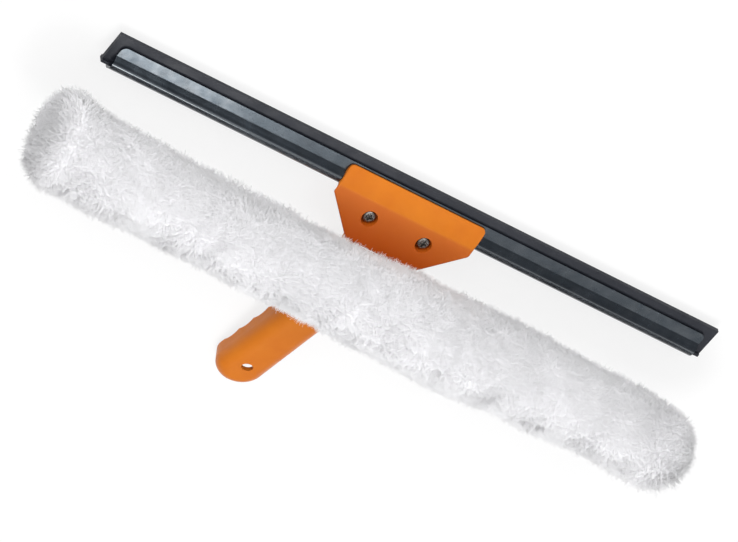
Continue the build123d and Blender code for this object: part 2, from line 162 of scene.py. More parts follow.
# Longer pile all round the left end, and in the tassels that hang off the right one
RUFFLE_START = -176.0 * MM
RUFFLE_RUN = 8.0 * MM
RUFFLE_GROWTH = 0.15
TASSEL_TURN = math.radians(125.0)
TASSEL_SPREAD = 0.9
TASSEL_START = 150.0 * MM
TASSEL_RUN = 25.0 * MM
TASSEL_GROWTH = 0.5

# Room left over the neck and the lifted clamp plate, to the backing and to the strands, how
# far past their edges it reaches, the run over which it fades, and the steps that look for it
BACKING_GAP = 1.4 * MM
PILE_GAP = 0.5 * MM
PLATE_SIDE_REACH = 9.0 * MM
PLATE_SIDE_RUN = 7.0 * MM
PLATE_FOOT_REACH = 5.0 * MM
PLATE_FOOT_RUN = 4.0 * MM
NECK_SIDE_REACH = 10.0 * MM
NECK_SIDE_RUN = 8.0 * MM
ROOM_STEPS = 25

# Flat bed of the touch tape: how far past the tape the backing is flat and the pile is bare,
# and the run over which both fade
BED_REACH = 5.0 * MM
BARE_REACH = 2.0 * MM
BED_RUN = 2.0 * MM

STRAND_POINTS = 3
STRAND_SIDES = 3
STRAND_SHORTEST = 0.7
STRAND_LONGEST = 1.08
STRAND_TAPER = 0.65
LOCK_POWER = 1.4

# Noise that leans the pile, curls its strands and curls its locks, and the share of the
# roots' painted-shade colour that the darkest strands take at random
LIE_SCALE = 45.0
CURL_SCALE = 320.0
LOCK_SCALE = 900.0
TONE_SHARE = 0.3

# Touch tape: rounding of its corners and edges, and its weave
TAPE_CORNER = 3.0 * MM
CORNER_POINTS = 7
TAPE_SOFT_EDGE = 0.25 * MM
WEFT_SCALE = 500.0
WARP_SCALE = 400.0

# Row of stitches inside the tape's edge
STITCH_INSET = 1.6 * MM
STITCH_PITCH = 2.6 * MM
STITCH_HALF_LENGTH = 0.95 * MM
THREAD_RADIUS = 0.22 * MM
THREAD_SEGMENTS = 8
THREAD_RINGS = 5

# Studio: the softboxes, and the floor, which lies just under what rests on it
SOFTBOXES = ("key", "fade", "top", "front", "fill")
FLOOR_HALF = 4.0
FLOOR_DROP = 0.3 * MM


def colour(name, description, default):
    """A colour that a user may change."""
    return bpy.props.FloatVectorProperty(
        name=name, description=description, default=default, subtype="COLOR", size=3, min=0, max=1
    )


def length(name, description, default):
    """A length that a user may change, in metres."""
    return bpy.props.FloatProperty(
        name=name, description=description, default=default, subtype="DISTANCE", unit="LENGTH",
        min=0, precision=5,
    )


def angle(name, description, degrees):
    """An angle that a user may change."""
    return bpy.props.FloatProperty(
        name=name, description=description, default=math.radians(degrees), subtype="ANGLE"
    )


def position(name, description, default):
    """A place that a user may change, in metres."""
    return bpy.props.FloatVectorProperty(
        name=name, description=description, default=default, subtype="XYZ", unit="LENGTH"
    )


def extent(name, description, default):
    """A width and a height that a user may change, in metres."""
    return bpy.props.FloatVectorProperty(
        name=name, description=description, default=default, unit="LENGTH", size=2, min=0
    )


def amount(name, description, default):
    """A plain number that a user may change."""
    return bpy.props.FloatProperty(name=name, description=description, default=default)


class WasherFinishes(bpy.types.PropertyGroup):
    """Colours of the hard pieces and the tape"""

    orange: colour("Orange plastic", "Moulded grip, head and clamp plate", (0.6, 0.172, 0.01))
    orange_deep: colour("Deep orange", "Orange plastic where it is denser", (0.535, 0.134, 0.007))
    # Painted shade: the clamp plate's darker orange below its lip stands in for shade
    orange_painted_shade: colour("Thick orange", "Clamp plate below its thin lip", (0.44, 0.074, 0.0055))
    channel: colour("Channel black", "Coated channel that holds the blade", (0.004, 0.005, 0.007))
    channel_dust: colour("Channel haze", "Handling marks on the channel", (0.011, 0.013, 0.017))
    channel_gloss: colour("Channel gloss", "Tint of the channel's gloss", (0.7, 0.86, 1.0))
    rubber: colour("Rubber", "Blade rubber", (0.013, 0.015, 0.021))
    rubber_dust: colour("Rubber bloom", "Pale bloom on the blade rubber", (0.021, 0.023, 0.03))
    steel: colour("Zinc", "Plated screws", (0.32, 0.31, 0.3))
    steel_dull: colour("Dull zinc", "Plated screws where they are tarnished", (0.18, 0.17, 0.155))
    bar: colour("Bar plastic", "Cross bar and its end caps", (0.7, 0.7, 0.68))
    bar_lines: colour("Bar lines", "Drawn lines on the cross bar", (0.6, 0.6, 0.58))
    tape: colour("Tape", "Touch tape under the sleeve", (0.8, 0.8, 0.81))
    tape_nap: colour("Tape nap", "Napped spots of the touch tape", (0.68, 0.68, 0.7))


class WasherPlush(bpy.types.PropertyGroup):
    """Make of the plush sleeve"""

    pile: length("Pile length", "Length of a strand from the backing to its tip", 4.6 * MM)
    depth: length("Pile depth", "Depth of the pile as it lies on the backing", 2.8 * MM)
    strand: length("Strand radius", "Radius of a strand at its root", 0.15 * MM)
    density: amount("Strands", "Strands on a square metre of backing", 2.5e6)
    locks: amount("Locks", "Locks of strands on a square metre of backing", 2.2e5)
    rise: amount("Rise", "How far the strands stand up from the backing", 0.5)
    lean: amount("Lean", "How far the strands lean with the lie of the pile", 2.6)
    stray: amount("Stray", "How far single strands lie across their neighbours", 0.65)
    curl: amount("Curl", "How far each strand bends aside", 0.85)
    pull: amount("Lock pull", "How far the tips of a lock draw together", 0.3)
    softness: amount("Softness", "How far the strands are shaded as one soft surface", 5.0)
    seed: bpy.props.IntProperty(name="Seed", description="Fixes the random growth", default=7)
    tip: colour("Pile tips", "Strands at their tips", (0.965, 0.965, 0.98))
    # Painted shade: the roots and the backing are painted darker for the shade down in the pile
    root: colour("Pile roots", "Strands and backing down in the pile", (0.945, 0.94, 0.96))


class WasherStage(bpy.types.PropertyGroup):
    """Camera and light"""

    azimuth: angle("Azimuth", "Camera's turn about the vertical", 214.7)
    elevation: angle("Elevation", "Camera's height angle", 41.7)
    roll: angle("Roll", "Camera's turn about its own axis", 181.33)
    distance: length("Distance", "From the camera to the point it looks at", 3.4)
    lens: amount("Lens", "Focal length in millimetres", 338.8)
    aim: position("Aim", "Point the camera looks at", (0.0171, 0.0128, -0.0008))
    key_place: position("Key place", "Middle of the key softbox", (0.125, -0.26, 0.86))
    key_size: extent("Key size", "Width and height of the key softbox", (0.31, 0.48))
    key_power: amount("Key power", "Power of the key softbox in watts", 4.3)
    fade_place: position("Fade place", "Middle of the dim strip by the key", (0.47, -0.26, 0.86))
    fade_size: extent("Fade size", "Width and height of the dim strip", (0.4, 0.6))
    fade_power: amount("Fade power", "Power of the dim strip in watts", 0.85)
    top_place: position("Top place", "Middle of the overhead softbox", (-0.1, 0.1, 1.5))
    top_size: extent("Top size", "Width and height of the overhead softbox", (1.2, 1.2))
    top_power: amount("Top power", "Power of the overhead softbox in watts", 4.6)
    front_place: position("Front place", "Middle of the front softbox", (-1.05, 0.98, 0.6))
    front_size: extent("Front size", "Width and height of the front softbox", (0.9, 0.9))
    front_power: amount("Front power", "Power of the front softbox in watts", 11.0)
    fill_place: position("Fill place", "Middle of the fill softbox", (0.0, 1.3, 0.85))
    fill_size: extent("Fill size", "Width and height of the fill softbox", (0.6, 0.6))
    fill_power: amount("Fill power", "Power of the fill softbox in watts", 6.8)
    horizon: amount("Horizon", "Strength of the studio light from the sides", 0.46)
    zenith: amount("Zenith", "Strength of the studio light from overhead", 0.32)
    floor: colour("Floor", "Pale studio floor", (0.86, 0.86, 0.86))
    floor_veil: amount("Floor veil", "How far the floor that is seen pales to white", 0.8)


class Tree:
    """A node tree with short ways to add nodes and to join them."""

    def __init__(self, tree):
        self.tree = tree

    @staticmethod
    def socket(sockets, name):
        """The socket in use with that name."""
        return next(socket for socket in sockets if socket.name == name and socket.enabled)

    def feed(self, socket, value):
        """Joins a socket to another one, or sets its value."""
        if isinstance(value, bpy.types.NodeSocket):
            self.tree.links.new(value, socket)
        else:
            socket.default_value = value

    def add(self, kind, inputs=None, **settings):
        """A new node with its settings and inputs."""
        node = self.tree.nodes.new(kind)
        for name, value in settings.items():
            setattr(node, name, value)
        for name, value in (inputs or {}).items():
            self.feed(self.socket(node.inputs, name), value)
        return node

    def out(self, kind, name, inputs=None, **settings):
        """The named output of a new node."""
        return self.socket(self.add(kind, inputs, **settings).outputs, name)

    def math(self, operation, *values):
        """One step of arithmetic on numbers."""
        node = self.add("ShaderNodeMath", operation=operation)
        for socket, value in zip(node.inputs, values):
            self.feed(socket, value)
        return node.outputs[0]

    def vector(self, operation, *values):
        """One step of arithmetic on vectors."""
        node = self.add("ShaderNodeVectorMath", operation=operation)
        for socket, value in zip(node.inputs, values):
            self.feed(socket, value)
        return node.outputs["Vector"]

    def scaled(self, vector, factor):
        """A vector times a number."""
        node = self.add("ShaderNodeVectorMath", operation="SCALE")
        self.feed(node.inputs[0], vector)
        self.feed(node.inputs["Scale"], factor)
        return node.outputs["Vector"]

    def spread(self, value, ends, low, high):
        """A value between two ends, spread between a low and a high one."""
        return self.out(
            "ShaderNodeMapRange", "Result",
            {
                "Value": value, "From Min": ends[0], "From Max": ends[1],
                "To Min": low, "To Max": high,
            },
        )

    def mix(self, factor, low, high):
        """A colour between two others, each of them a socket or a plain colour."""
        low, high = (
            end if isinstance(end, bpy.types.NodeSocket) else opaque(end) for end in (low, high)
        )
        return self.out(
            "ShaderNodeMix", "Result", {"Factor": factor, "A": low, "B": high}, data_type="RGBA"
        )

    def mix_shaders(self, factor, low, high):
        """A shader between two others."""
        node = self.add("ShaderNodeMixShader")
        for socket, value in zip(node.inputs, (factor, low, high)):
            self.feed(socket, value)
        return node.outputs[0]


class GrowthTree(Tree):
    """A Geometry Nodes tree that grows something on the geometry that it is given."""

    def __init__(self, name, inputs):
        group = bpy.data.node_groups.new(name, "GeometryNodeTree")
        for label, kind in {"Geometry": "Geometry", **inputs, "Material": "Material"}.items():
            group.interface.new_socket(label, in_out="INPUT", socket_type="NodeSocket" + kind)
        group.interface.new_socket("Geometry", in_out="OUTPUT", socket_type="NodeSocketGeometry")
        super().__init__(group)
        self.given = self.add("NodeGroupInput").outputs

    def seeded(self, offset):
        """A seed of its own for one random draw."""
        return self.math("ADD", self.given["Seed"], offset)

    def random(self, low, high, offset):
        """A random number for each point."""
        return self.out(
            "FunctionNodeRandomValue", "Value",
            {"Min": low, "Max": high, "Seed": self.seeded(offset)},
        )

    def random_vector(self, offset):
        """A random vector for each point."""
        return self.out(
            "FunctionNodeRandomValue", "Value",
            {"Min": (-1.0, -1.0, -1.0), "Max": (1.0, 1.0, 1.0), "Seed": self.seeded(offset)},
            data_type="FLOAT_VECTOR",
        )

    def stored(self, geometry, name, value, kind):
        """The geometry with a named value stored on its points."""
        return self.out(
            "GeometryNodeStoreNamedAttribute", "Geometry",
            {"Geometry": geometry, "Name": name, "Value": value}, data_type=kind, domain="POINT",
        )

    def named(self, name, kind):
        """A value stored on the points before."""
        return self.out(
            "GeometryNodeInputNamedAttribute", "Attribute", {"Name": name}, data_type=kind
        )

    def drift(self, vector, scale, strength):
        """A vector that drifts over the surface with a noise."""
        swirl = self.out(
            "ShaderNodeTexNoise", "Color", {"Vector": vector, "Scale": scale, "Detail": 2.0}
        )
        return self.scaled(self.vector("SUBTRACT", swirl, (0.5, 0.5, 0.5)), strength)

    def finish(self, geometry):
        """Ends the tree in smooth, real geometry with its material."""
        smooth = self.out("GeometryNodeSetShadeSmooth", "Geometry", {"Geometry": geometry})
        real = self.out("GeometryNodeRealizeInstances", "Geometry", {"Geometry": smooth})
        dressed = self.out(
            "GeometryNodeSetMaterial", "Geometry",
            {"Geometry": real, "Material": self.given["Material"]},
        )
        self.feed(self.add("NodeGroupOutput").inputs[0], dressed)
        return self.tree


def opaque(rgb):
    """A colour with full alpha."""
    return (*rgb, 1.0)


def placed(name, data):
    """A new object in the scene that holds a mesh, a light or a camera."""
    item = bpy.data.objects.new(name, data)
    bpy.context.scene.collection.objects.link(item)
    return item


def effect_group(name, sockets, output):
    """An empty shader node group with number inputs and one number output."""
    group = bpy.data.node_groups.new(name, "ShaderNodeTree")
    for label, default in sockets.items():
        socket = group.interface.new_socket(label, in_out="INPUT", socket_type="NodeSocketFloat")
        socket.default_value = default
    group.interface.new_socket(output, in_out="OUTPUT", socket_type="NodeSocketFloat")
    tree = Tree(group)
    return tree, tree.add("NodeGroupInput").outputs, tree.add("NodeGroupOutput").inputs


def cloud_marks():
    """Soft cloudy marks on Object coordinates, spread between a low and a high value."""
    sockets = {"Scale": 40.0, "Detail": 4.0, "Low": 0.0, "High": 1.0}
    tree, given, result = effect_group("Cloud marks", sockets, "Mark")
    place = tree.out("ShaderNodeTexCoord", "Object")
    cloud = tree.out(
        "ShaderNodeTexNoise", "Fac",
        {"Vector": place, "Scale": given["Scale"], "Detail": given["Detail"], "Roughness": 0.6},
    )
    tree.feed(result["Mark"], tree.spread(cloud, CLOUD_RANGE, given["Low"], given["High"]))
    return tree.tree


def drawn_lines():
    """Fine lines that run the length of an extruded or drawn piece."""
    sockets = {"Lines": 900.0, "Low": 0.0, "High": 1.0}
    tree, given, result = effect_group("Drawn lines", sockets, "Line")
    place = tree.out("ShaderNodeTexCoord", "Object")
    drawn = tree.out(
        "ShaderNodeMapping", "Vector", {"Vector": place, "Scale": (LINE_STRETCH, 1.0, 1.0)}
    )
    line = tree.out(
        "ShaderNodeTexNoise", "Fac",
        {"Vector": drawn, "Scale": given["Lines"], "Detail": 3.0, "Roughness": 0.55},
    )
    tree.feed(result["Line"], tree.spread(line, LINE_RANGE, given["Low"], given["High"]))
    return tree.tree


def slope_mark():
    """What lies beyond a level across the piece, on Object coordinates, with a soft edge."""
    sockets = {"Y": 0.0, "Z": 1.0, "Level": 0.0, "Edge": MARK_EDGE}
    tree, given, result = effect_group("Slope mark", sockets, "Mark")
    place = tree.out("ShaderNodeTexCoord", "Object")
    parts = tree.add("ShaderNodeSeparateXYZ", {"Vector": place}).outputs
    rise = tree.math("MULTIPLY", parts["Z"], given["Z"])
    along = tree.math("MULTIPLY_ADD", parts["Y"], given["Y"], rise)
    ends = given["Level"], tree.math("ADD", given["Level"], given["Edge"])
    tree.feed(result["Mark"], tree.spread(along, ends, 0.0, 1.0))
    return tree.tree


def effect(tree, name, maker, output, **values):
    """A shared effect placed in a material with its own values."""
    group = bpy.data.node_groups.get(name) or maker()
    node = tree.add("ShaderNodeGroup", node_tree=group)
    for label, value in values.items():
        tree.feed(node.inputs[label], value)
    return node.outputs[output]


def clouds(tree, **values):
    """Cloud marks with this material's own values."""
    return effect(tree, "Cloud marks", cloud_marks, "Mark", **values)


def lines(tree, **values):
    """Drawn lines with this material's own values."""
    return effect(tree, "Drawn lines", drawn_lines, "Line", **values)


def beyond(tree, way, level, edge):
    """Slope mark beyond a level along a way across the piece."""
    return effect(
        tree, "Slope mark", slope_mark, "Mark", Y=way[1], Z=way[2], Level=level, Edge=edge
    )


def new_finish(name, **constants):
    """A material with a Principled shader whose constants sit on its own sockets."""
    material = bpy.data.materials.new(name)
    material.use_nodes = True
    tree = Tree(material.node_tree)
    shader = material.node_tree.nodes["Principled BSDF"]
    for label, value in constants.items():
        shader.inputs[label.replace("_", " ")].default_value = value
    return material, tree, shader.inputs


def bump(tree, height, strength, depth):
    """A bump normal from a height."""
    return tree.out(
        "ShaderNodeBump", "Normal", {"Height": height, "Strength": strength, "Distance": depth}
    )


def dress(node, material):
    """Puts one finish all over a CAD node."""
    mesh = frame["nodes"][node].data
    mesh.materials.clear()
    mesh.materials.append(material)


def plate_painted_shade(tree):
    """Painted shade on the clamp plate: a share that starts at its crease and grows to its foot."""
    crease = beyond(tree, -blade_way, -crease_level, CREASE_SPREAD)
    growing = beyond(tree, -blade_way, -crease_level, crease_level - foot_level)
    on_plate = beyond(tree, blade_way, foot_level - MM, MARK_EDGE)
    step = tree.math("MULTIPLY", crease, CREASE_SHARE)
    return tree.math("MULTIPLY", tree.math("MULTIPLY_ADD", growing, FOOT_SHARE, step), on_plate)


class WASHER_OT_moulded_plastic(bpy.types.Operator):
    """Orange moulded plastic on the handle and the clamp plate, with painted shade on the plate"""

    bl_idname = "washer.moulded_plastic"
    bl_label = "Handle and clamp plate"

    def execute(self, context):
        finishes = context.scene.washer_finishes
        material, tree, shader = new_finish("orange_plastic", IOR=1.5, Specular_IOR_Level=0.22)
        density = clouds(tree, Scale=28.0, Detail=5.0)
        thin = tree.mix(density, finishes.orange, finishes.orange_deep)
        # Painted shade darkens the clamp plate from its crease down to its foot
        tree.feed(shader["Base Color"], tree.mix(plate_painted_shade(tree), thin, finishes.orange_painted_shade))
        tree.feed(shader["Roughness"], clouds(tree, Scale=160.0, Low=0.3, High=0.46))
        grain = clouds(tree, Scale=1400.0, Detail=2.0)
        tree.feed(shader["Normal"], bump(tree, grain, strength=0.25, depth=0.05 * MM))
        for node in ("handle", "clamp_plate"):
            dress(node, material)
        return {"FINISHED"}


class WASHER_OT_channel(bpy.types.Operator):
    """Glossy black coat on the channel, with drawn lines, handling marks and a polished bulb"""

    bl_idname = "washer.channel"
    bl_label = "Blade channel"

    def execute(self, context):
        finishes = context.scene.washer_finishes
        material, tree, shader = new_finish(
            "black_channel", IOR=1.55, Coat_Roughness=0.06,
            Specular_Tint=opaque(finishes.channel_gloss),
        )
        haze = clouds(tree, Scale=55.0)
        tree.feed(shader["Base Color"], tree.mix(haze, finishes.channel, finishes.channel_dust))
        bulb = beyond(tree, -blade_way, -bulb_level, MARK_EDGE)
        rough = clouds(tree, Scale=110.0, Detail=6.0, Low=0.16, High=0.32)
        polished = tree.math("MULTIPLY_ADD", bulb, -BULB_POLISH, 1.0)
        tree.feed(shader["Roughness"], tree.math("MULTIPLY", rough, polished))
        coat = clouds(tree, Scale=140.0, Detail=6.0, Low=0.0, High=0.5)
        tree.feed(shader["Coat Weight"], tree.math("MAXIMUM", coat, bulb))
        drawn = lines(tree, Lines=1500.0)
        tree.feed(shader["Normal"], bump(tree, drawn, strength=0.2, depth=0.02 * MM))
        dress("blade_channel", material)
        return {"FINISHED"}


class WASHER_OT_rubber(bpy.types.Operator):
    """Dark rubber with a faint bloom on the blade"""

    bl_idname = "washer.rubber"
    bl_label = "Rubber blade"

    def execute(self, context):
        finishes = context.scene.washer_finishes
        material, tree, shader = new_finish("blade_rubber", IOR=1.5, Specular_IOR_Level=0.2)
        bloom = clouds(tree, Scale=35.0, Detail=6.0)
        tree.feed(shader["Base Color"], tree.mix(bloom, finishes.rubber, finishes.rubber_dust))
        tree.feed(shader["Roughness"], clouds(tree, Scale=120.0, Low=0.38, High=0.55))
        drawn = lines(tree, Lines=1100.0)
        tree.feed(shader["Normal"], bump(tree, drawn, strength=0.25, depth=0.03 * MM))
        dress("rubber_blade", material)
        return {"FINISHED"}


class WASHER_OT_screws(bpy.types.Operator):
    """Zinc plate on the clamp screws and the bar screws"""

    bl_idname = "washer.screws"
    bl_label = "Screws"

    def execute(self, context):
        finishes = context.scene.washer_finishes
        material, tree, shader = new_finish("screw_steel", Metallic=1.0)
        dull = clouds(tree, Scale=600.0)
        tree.feed(shader["Base Color"], tree.mix(dull, finishes.steel, finishes.steel_dull))
        tree.feed(shader["Roughness"], clouds(tree, Scale=900.0, Low=0.2, High=0.42))
        grain = clouds(tree, Scale=2500.0)
        tree.feed(shader["Normal"], bump(tree, grain, strength=0.3, depth=0.03 * MM))
        for node in ("clamp_screw_left", "clamp_screw_right", "bar_screws"):
            dress(node, material)
        return {"FINISHED"}


class WASHER_OT_bar(bpy.types.Operator):
    """Matt extruded plastic on the cross bar and its caps"""

    bl_idname = "washer.bar"
    bl_label = "Cross bar"

    def execute(self, context):
        finishes = context.scene.washer_finishes
        material, tree, shader = new_finish("bar_plastic", IOR=1.48)
        streaks = lines(tree, Lines=500.0)
        tree.feed(shader["Base Color"], tree.mix(streaks, finishes.bar, finishes.bar_lines))
        tree.feed(shader["Roughness"], clouds(tree, Scale=80.0, Low=0.5, High=0.65))
        drawn = lines(tree, Lines=1200.0)
        tree.feed(shader["Normal"], bump(tree, drawn, strength=0.3, depth=0.05 * MM))
        for node in ("washer_bar", "bar_end_caps"):
            dress(node, material)
        return {"FINISHED"}


def eased(values):
    """A smooth step from 0 to 1."""
    held = np.clip(values, 0.0, 1.0)
    return held * held * (3.0 - 2.0 * held)


def sleeve_radius(x):
    """Radius over the pile at a place along the bar."""
    radius = np.full_like(x, SLEEVE_FULLNESS[0][1])
    for (start, before), (end, after) in zip(SLEEVE_FULLNESS, SLEEVE_FULLNESS[1:]):
        radius += (after - before) * eased((x - start) / (end - start))
    return radius


def droop(x):
    """How far the sleeve hangs off the bar's axis at a place along it."""
    left = np.clip((LEFT_DROOP_START - x) / LEFT_DROOP_RUN, 0.0, None) ** LEFT_DROOP_POWER
    right = eased((x - RIGHT_LIFT_START) / RIGHT_LIFT_RUN)
    return LEFT_DROOP * left - RIGHT_LIFT * right


def backing_profile(plush):
    """Places and radii of the backing's rings, from its flat left end to its round right one."""
    end = sleeve_high.x - plush.depth
    turn = np.linspace(0.0, math.pi / 2, EDGE_RINGS)
    left_x = LEFT_ROUND - LEFT_PUFF - end - LEFT_ROUND * np.cos(turn)
    right_x = end + RIGHT_PUFF - RIGHT_ROUND + RIGHT_ROUND * np.cos(turn[::-1])
    body_x = np.linspace(left_x[-1], right_x[0], BODY_RINGS + 2)[1:-1]
    x = np.concatenate([left_x, body_x, right_x])
    radius = sleeve_radius(x) - plush.depth
    radius[:EDGE_RINGS] -= LEFT_ROUND * (1.0 - np.sin(turn))
    radius[-EDGE_RINGS:] -= RIGHT_ROUND * (1.0 - np.sin(turn[::-1]))
    flat = np.linspace(0.0, 1.0, DISC_RINGS + 1)[:-1]
    left_disc, right_disc = flat * radius[0], flat[::-1] * radius[-1]
    places = np.concatenate([np.full(DISC_RINGS, x[0]), x, np.full(DISC_RINGS, x[-1])])
    return places, np.concatenate([left_disc, radius, right_disc])


def sinks(points, gap):
    """How far each point sinks into the lifted clamp plate and into the neck, with a gap."""
    aside = np.abs(points[:, 0])
    over_plate = eased((plate_high.x + PLATE_SIDE_REACH - aside) / PLATE_SIDE_RUN)
    past_foot = eased((points[:, 1] - plate_low.y + PLATE_FOOT_REACH) / PLATE_FOOT_RUN)
    lifted_top = plate_top + clamp_travel + gap
    plate_sink = np.clip(lifted_top - points @ clamp_axis, 0.0, None) * over_plate * past_foot
    over_neck = eased((NECK_HALF_WIDTH + NECK_SIDE_REACH - aside) / NECK_SIDE_RUN)
    below_bar = points[:, 2] < bar_z
    neck_sink = np.clip(neck_top + gap - points[:, 2], 0.0, None) * over_neck * below_bar
    return plate_sink, neck_sink


def pressed(points, gap):
    """Points of the plush, pressed up off the neck and the lifted clamp plate."""
    plate_sink, neck_sink = sinks(points, gap)
    moved = points + plate_sink[:, None] * clamp_axis
    moved[:, 2] = np.maximum(moved[:, 2], points[:, 2] + neck_sink)
    return moved


def tape_bed(points, reach):
    """Share of each point in the bed of the touch tape, which reaches past the tape."""
    middle, half = (loop_low + loop_high) / 2, (loop_high - loop_low) / 2
    along = eased((half.x + reach - np.abs(points[:, 0] - middle.x)) / BED_RUN)
    across = eased((half.y + reach - np.abs(points[:, 1] - middle.y)) / BED_RUN)
    return along * across * (points[:, 2] < bar_z)


def pile_room(points, normals, reach):
    """Share of its length that a strand may have at each point, clear of neck, plate and tape."""
    room = np.ones(len(points))
    for step in np.linspace(0.0, 1.0, ROOM_STEPS)[::-1]:
        plate_sink, neck_sink = sinks(points + normals * (reach * step), PILE_GAP)
        room[(plate_sink > 0.0) | (neck_sink > 0.0)] = step
    return room * (1.0 - tape_bed(points, BARE_REACH))


def facing(points, turn, spread):
    """How far each point of the sleeve faces one way round the bar, from 0 to 1."""
    turns = np.arctan2(points[:, 2] - bar_z, points[:, 1] - bar_y)
    away = (turns - turn + math.pi) % (2.0 * math.pi) - math.pi
    return np.exp(-((away / spread) ** 2))


def crown_share(points):
    """Share of each point in the ruffled crown of the left end."""
    at_end = eased((CROWN_START - points[:, 0]) / CROWN_RUN)
    return facing(points, CROWN_TURN, CROWN_SPREAD) * at_end


def lumps(points):
    """Swell of the backing: broad lumps, small puckers and the crown of the left end."""
    places = [Vector(point) for point in points]
    broad = np.array([noise.noise(place * BROAD_LUMPS) for place in places])
    small = np.array([noise.noise(place * SMALL_LUMPS + SMALL_SHIFT) for place in places])
    crown = CROWN_SWELL * crown_share(points) * (1.0 + small)
    return BROAD_SWELL * broad + SMALL_SWELL * small + crown


def pile_growth(points):
    """Length of the pile against the plain one: longer in the crown, the ruffle and the tassels."""
    crown = crown_share(points)
    tassel = facing(points, TASSEL_TURN, TASSEL_SPREAD)
    tassel = tassel * eased((points[:, 0] - TASSEL_START) / TASSEL_RUN)
    ruffle = eased((RUFFLE_START - points[:, 0]) / RUFFLE_RUN)
    return 1.0 + CROWN_GROWTH * crown + TASSEL_GROWTH * tassel + RUFFLE_GROWTH * ruffle


def backing_points(plush):
    """Points of the sleeve's lumpy, drooping backing, ring by ring and then its two poles."""
    x, radius = backing_profile(plush)
    turns = np.linspace(0.0, 2.0 * math.pi, SLEEVE_SIDES, endpoint=False)
    rings = np.array(
        [
            (px, bar_y + r * math.cos(turn), bar_z + r * math.sin(turn))
            for px, r in zip(x[1:-1], radius[1:-1])
            for turn in turns
        ]
    )
    poles = np.array([(x[0], bar_y, bar_z), (x[-1], bar_y, bar_z)])
    points = np.concatenate([rings, poles])
    outward = points - np.array((0.0, bar_y, bar_z))
    outward[:, 0] = 0.0
    reach = np.linalg.norm(outward, axis=1)
    swell = lumps(points) * eased(reach / LUMP_FADE)
    points += outward / np.maximum(reach, MM)[:, None] * swell[:, None]
    points += droop(points[:, 0])[:, None] * DROOP_WAY
    points = pressed(points, BACKING_GAP)
    points[:, 2] += (loop_high.z - points[:, 2]) * tape_bed(points, BED_REACH)
    return points


def tube_faces(rings, sides):
    """Faces of a closed tube: quads from ring to ring, and triangles to a pole at each end."""
    faces = []
    for ring in range(rings - 1):
        for side in range(sides):
            a, b = ring * sides + side, ring * sides + (side + 1) % sides
            faces.append((a, b, b + sides, a + sides))
    left, right = rings * sides, rings * sides + 1
    last = (rings - 1) * sides
    for side in range(sides):
        following = (side + 1) % sides
        faces.append((left, following, side))
        faces.append((right, last + side, last + following))
    return faces


def plush_backing(plush):
    """The sleeve's backing, with the share of the pile's length that grows at each point."""
    points = backing_points(plush)
    rings = (len(points) - 2) // SLEEVE_SIDES
    mesh = bpy.data.meshes.new("plush_backing")
    mesh.from_pydata(points.tolist(), [], tube_faces(rings, SLEEVE_SIDES))
    sculpt = bmesh.new()
    sculpt.from_mesh(mesh)
    bmesh.ops.recalc_face_normals(sculpt, faces=sculpt.faces)
    sculpt.normal_update()
    sculpt.to_mesh(mesh)
    normals = np.array([vertex.normal[:] for vertex in sculpt.verts])
    sculpt.free()
    share = pile_room(points, normals, plush.pile) * pile_growth(points)
    attribute = mesh.attributes.new("pile", "FLOAT", "POINT")
    attribute.data.foreach_set("value", share.astype(np.float32))
    return placed("plush_backing", mesh)


